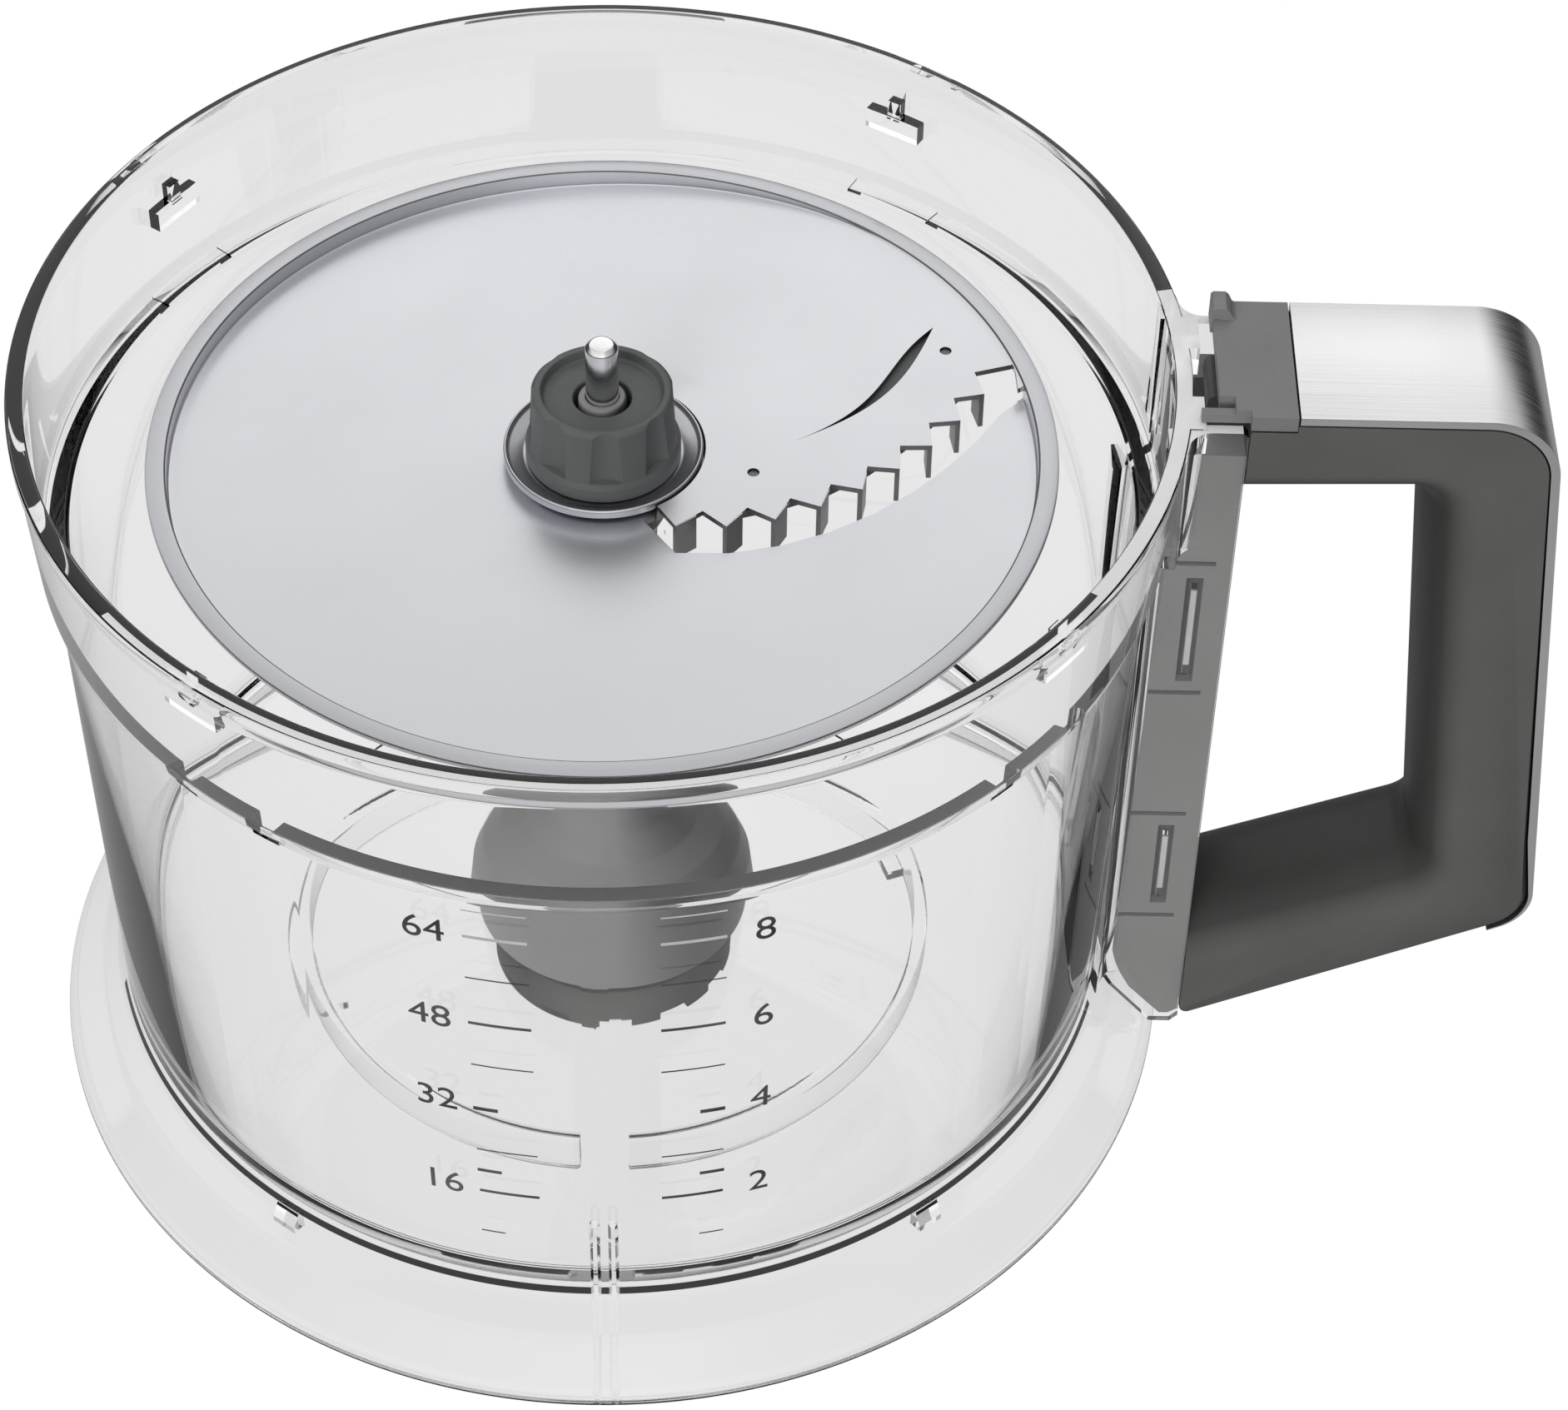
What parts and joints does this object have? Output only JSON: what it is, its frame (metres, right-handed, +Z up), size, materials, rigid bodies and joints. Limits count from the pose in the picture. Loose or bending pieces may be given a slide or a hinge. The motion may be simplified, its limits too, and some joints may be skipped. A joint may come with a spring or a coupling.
{
  "type": "food processor work bowl",
  "caption": "Clear round work bowl with a flared foot, a D-shaped handle, a lift-out drive stem and a julienne disc.",
  "frame": {"origin": "centre of the bottom of the bounding box, on the plane that the bowl's foot stands on; the bowl's axis is the line x = -0.03145 m, y = 0", "axes": "+X from the bowl's axis towards the handle, +Z up, +Y towards the back seen from the fill scale"},
  "size_m": [0.2602, 0.1974, 0.1502],
  "materials": {
    "clear_plastic": "clear moulded copolyester, polished",
    "brushed_steel": "brushed stainless steel",
    "polished_steel": "polished stainless steel",
    "handle_plastic": "dark grey moulded plastic with a fine grain",
    "cap_plastic": "mid grey moulded plastic",
    "spine_plastic": "mid grey moulded plastic",
    "stem_plastic": "mid grey moulded plastic",
    "knob_plastic": "dark grey moulded plastic",
    "seal_rubber": "black sealing rubber"
  },
  "bodies": {
    "bowl_body": {"bowl": "clear_plastic", "handle_core": "handle_plastic", "handle_strip": "brushed_steel", "handle_cap": "cap_plastic", "spine_insert": "spine_plastic", "lever_pin": "polished_steel", "shaft_bushing": "spine_plastic", "shaft_seal": "seal_rubber"},
    "coupling_body": {"drive_coupling": "handle_plastic", "drive_shaft": "polished_steel", "retaining_clip": "polished_steel"},
    "stem_body": {"drive_stem": "stem_plastic", "stem_socket": "brushed_steel", "drive_pin": "polished_steel"},
    "disc_body": {"disc_plate": "brushed_steel", "blade_carrier": "knob_plastic", "blade_rivet_inner": "polished_steel", "blade_rivet_outer": "polished_steel", "hub_flange": "polished_steel", "hub_base": "knob_plastic", "hub_knob": "knob_plastic"},
    "rod_body": {"push_rod": "spine_plastic", "push_rod_spring": "polished_steel"},
    "lever_body": {"interlock_lever": "cap_plastic"}
  },
  "joints": [
    {"name": "drive_spin", "type": "hinge", "parent": "bowl_body", "child": "coupling_body", "pos_m": [-0.03145, 0, 0.012], "axis": [0, 0, 1], "continuous": true},
    {"name": "stem_lift", "type": "slide", "parent": "coupling_body", "child": "stem_body", "axis": [0, 0, 1], "range_m": [0, 0.14]},
    {"name": "disc_lift", "type": "slide", "parent": "stem_body", "child": "disc_body", "axis": [0, 0, 1], "range_m": [0, 0.06]},
    {"name": "lever_press", "type": "hinge", "parent": "bowl_body", "child": "lever_body", "pos_m": [0.07395, 0, 0.1386], "axis": [0, -1, 0], "range_deg": [0, 20]},
    {"name": "rod_press", "type": "slide", "parent": "bowl_body", "child": "rod_body", "axis": [0, 0, -1], "range_m": [0, 0.0028], "stiffness_N_per_m": 300, "springref_m": -0.001, "deforming": ["push_rod_spring"]}
  ],
  "couplings": [
    {"joint": "lever_press", "follows": "rod_press", "rad_per_m": 124}
  ]
}
